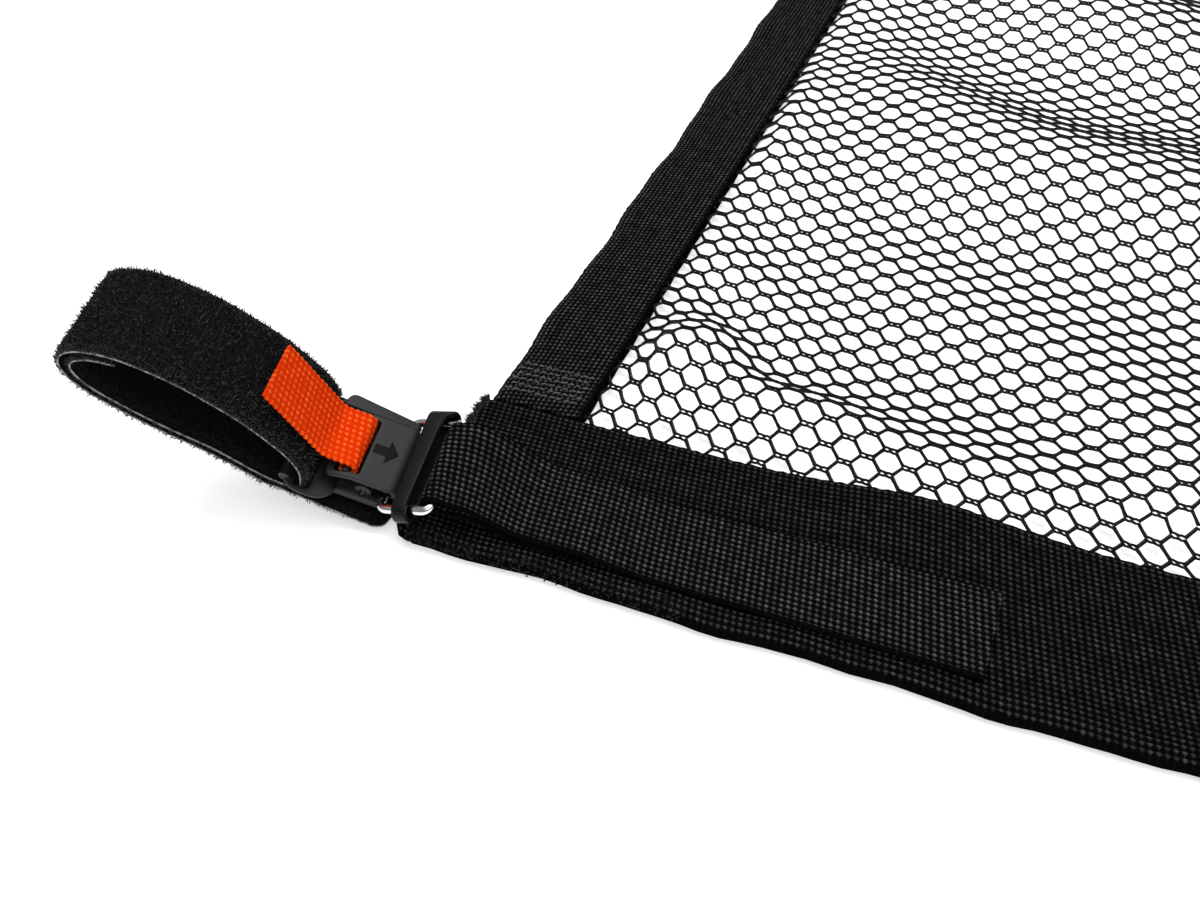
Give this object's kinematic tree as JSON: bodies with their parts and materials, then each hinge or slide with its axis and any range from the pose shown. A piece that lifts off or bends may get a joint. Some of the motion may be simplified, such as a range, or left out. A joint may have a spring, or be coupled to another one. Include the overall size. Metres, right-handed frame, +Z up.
{
  "type": "webbing-bound mesh net panel",
  "caption": "Black mesh net bound in woven webbing, with corner straps ending in wire rings, quick-release latches with orange pull tabs and hook-and-loop straps that tie it to a frame.",
  "frame": {"origin": "centre of the bounding box on the plane that the panel lies on", "axes": "+X along the wide border, +Y from the front border to the back border, +Z up from the floor"},
  "size_m": [0.7484, 0.5296, 0.0586],
  "materials": {
    "webbing": "woven, slight sheen",
    "net": "knitted mesh, matte",
    "pile": "fuzzy hook-and-loop pile",
    "tab": "woven ribbon, slight sheen",
    "moulding": "moulded, satin",
    "collar": "moulded, satin",
    "wire": "bright plated wire",
    "pin": "plain steel"
  },
  "bodies": {
    "panel": {"front_tape_lower": "webbing", "front_tape_upper": "webbing", "back_tape_lower": "webbing", "back_tape_upper": "webbing", "left_tape_lower": "webbing", "left_tape_upper": "webbing", "right_tape_lower": "webbing", "right_tape_upper": "webbing", "mesh_net": "net", "anchor_strap_front_left": "webbing", "anchor_strap_front_right": "webbing", "anchor_strap_back_left": "webbing", "anchor_strap_back_right": "webbing"},
    "front_left_ring": {"ring_front_left": "wire", "keeper_collar_front_left": "collar"},
    "front_left_latch": {"latch_base_front_left": "moulding", "lever_pin_front_left": "pin", "hook_loop_strap_front_left": "pile"},
    "front_left_lever": {"latch_lever_front_left": "moulding"},
    "front_left_tab": {"pull_tab_front_left": "tab"},
    "front_right_ring": {"ring_front_right": "wire", "keeper_collar_front_right": "collar"},
    "front_right_latch": {"latch_base_front_right": "moulding", "lever_pin_front_right": "pin", "hook_loop_strap_front_right": "pile"},
    "front_right_lever": {"latch_lever_front_right": "moulding"},
    "front_right_tab": {"pull_tab_front_right": "tab"},
    "back_left_ring": {"ring_back_left": "wire", "keeper_collar_back_left": "collar"},
    "back_left_latch": {"latch_base_back_left": "moulding", "lever_pin_back_left": "pin", "hook_loop_strap_back_left": "pile"},
    "back_left_lever": {"latch_lever_back_left": "moulding"},
    "back_left_tab": {"pull_tab_back_left": "tab"},
    "back_right_ring": {"ring_back_right": "wire", "keeper_collar_back_right": "collar"},
    "back_right_latch": {"latch_base_back_right": "moulding", "lever_pin_back_right": "pin", "hook_loop_strap_back_right": "pile"},
    "back_right_lever": {"latch_lever_back_right": "moulding"},
    "back_right_tab": {"pull_tab_back_right": "tab"}
  },
  "joints": [
    {"name": "ring_swing_front_left", "type": "hinge", "parent": "panel", "child": "front_left_ring", "pos_m": [-0.29104, -0.23502, 0.01505], "axis": [-0.1247, 0.9737, 0.1908], "range_deg": [-5, 80]},
    {"name": "latch_swing_front_left", "type": "hinge", "parent": "front_left_ring", "child": "front_left_latch", "pos_m": [-0.3046, -0.2362, 0.01221], "axis": [-0.1247, 0.9737, 0.1908], "range_deg": [-10, 12]},
    {"name": "lever_tip_front_left", "type": "hinge", "parent": "front_left_latch", "child": "front_left_lever", "pos_m": [-0.30913, -0.2371, 0.01386], "axis": [0.1247, -0.9737, -0.1908], "range_deg": [0, 24], "stiffness_Nm_per_rad": 0.002, "springref_deg": -5.73},
    {"name": "tab_keep_front_left", "type": "hinge", "parent": "front_left_lever", "child": "front_left_tab", "pos_m": [-0.31294, -0.23848, 0.0184], "axis": [0.1247, -0.9737, -0.1908], "range_deg": [-40, 10]},
    {"name": "ring_swing_front_right", "type": "hinge", "parent": "panel", "child": "front_right_ring", "pos_m": [0.29104, -0.23502, 0.01505], "axis": [-0.1247, -0.9737, -0.1908], "range_deg": [-5, 80]},
    {"name": "latch_swing_front_right", "type": "hinge", "parent": "front_right_ring", "child": "front_right_latch", "pos_m": [0.3046, -0.2362, 0.01221], "axis": [-0.1247, -0.9737, -0.1908], "range_deg": [-10, 12]},
    {"name": "lever_tip_front_right", "type": "hinge", "parent": "front_right_latch", "child": "front_right_lever", "pos_m": [0.30913, -0.2371, 0.01386], "axis": [0.1247, 0.9737, 0.1908], "range_deg": [0, 24], "stiffness_Nm_per_rad": 0.002, "springref_deg": -5.73},
    {"name": "tab_keep_front_right", "type": "hinge", "parent": "front_right_lever", "child": "front_right_tab", "pos_m": [0.31294, -0.23848, 0.0184], "axis": [0.1247, 0.9737, 0.1908], "range_deg": [-40, 10]},
    {"name": "ring_swing_back_left", "type": "hinge", "parent": "panel", "child": "back_left_ring", "pos_m": [-0.29104, 0.23502, 0.01505], "axis": [0.1247, 0.9737, -0.1908], "range_deg": [-5, 80]},
    {"name": "latch_swing_back_left", "type": "hinge", "parent": "back_left_ring", "child": "back_left_latch", "pos_m": [-0.3046, 0.2362, 0.01221], "axis": [0.1247, 0.9737, -0.1908], "range_deg": [-10, 12]},
    {"name": "lever_tip_back_left", "type": "hinge", "parent": "back_left_latch", "child": "back_left_lever", "pos_m": [-0.30913, 0.2371, 0.01386], "axis": [-0.1247, -0.9737, 0.1908], "range_deg": [0, 24], "stiffness_Nm_per_rad": 0.002, "springref_deg": -5.73},
    {"name": "tab_keep_back_left", "type": "hinge", "parent": "back_left_lever", "child": "back_left_tab", "pos_m": [-0.31294, 0.23848, 0.0184], "axis": [-0.1247, -0.9737, 0.1908], "range_deg": [-40, 10]},
    {"name": "ring_swing_back_right", "type": "hinge", "parent": "panel", "child": "back_right_ring", "pos_m": [0.29104, 0.23502, 0.01505], "axis": [0.1247, -0.9737, 0.1908], "range_deg": [-5, 80]},
    {"name": "latch_swing_back_right", "type": "hinge", "parent": "back_right_ring", "child": "back_right_latch", "pos_m": [0.3046, 0.2362, 0.01221], "axis": [0.1247, -0.9737, 0.1908], "range_deg": [-10, 12]},
    {"name": "lever_tip_back_right", "type": "hinge", "parent": "back_right_latch", "child": "back_right_lever", "pos_m": [0.30913, 0.2371, 0.01386], "axis": [-0.1247, 0.9737, -0.1908], "range_deg": [0, 24], "stiffness_Nm_per_rad": 0.002, "springref_deg": -5.73},
    {"name": "tab_keep_back_right", "type": "hinge", "parent": "back_right_lever", "child": "back_right_tab", "pos_m": [0.31294, 0.23848, 0.0184], "axis": [-0.1247, 0.9737, -0.1908], "range_deg": [-40, 10]}
  ],
  "couplings": [
    {"joint": "tab_keep_front_left", "follows": "lever_tip_front_left", "ratio": -1.5},
    {"joint": "tab_keep_front_right", "follows": "lever_tip_front_right", "ratio": -1.5},
    {"joint": "tab_keep_back_left", "follows": "lever_tip_back_left", "ratio": -1.5},
    {"joint": "tab_keep_back_right", "follows": "lever_tip_back_right", "ratio": -1.5}
  ]
}
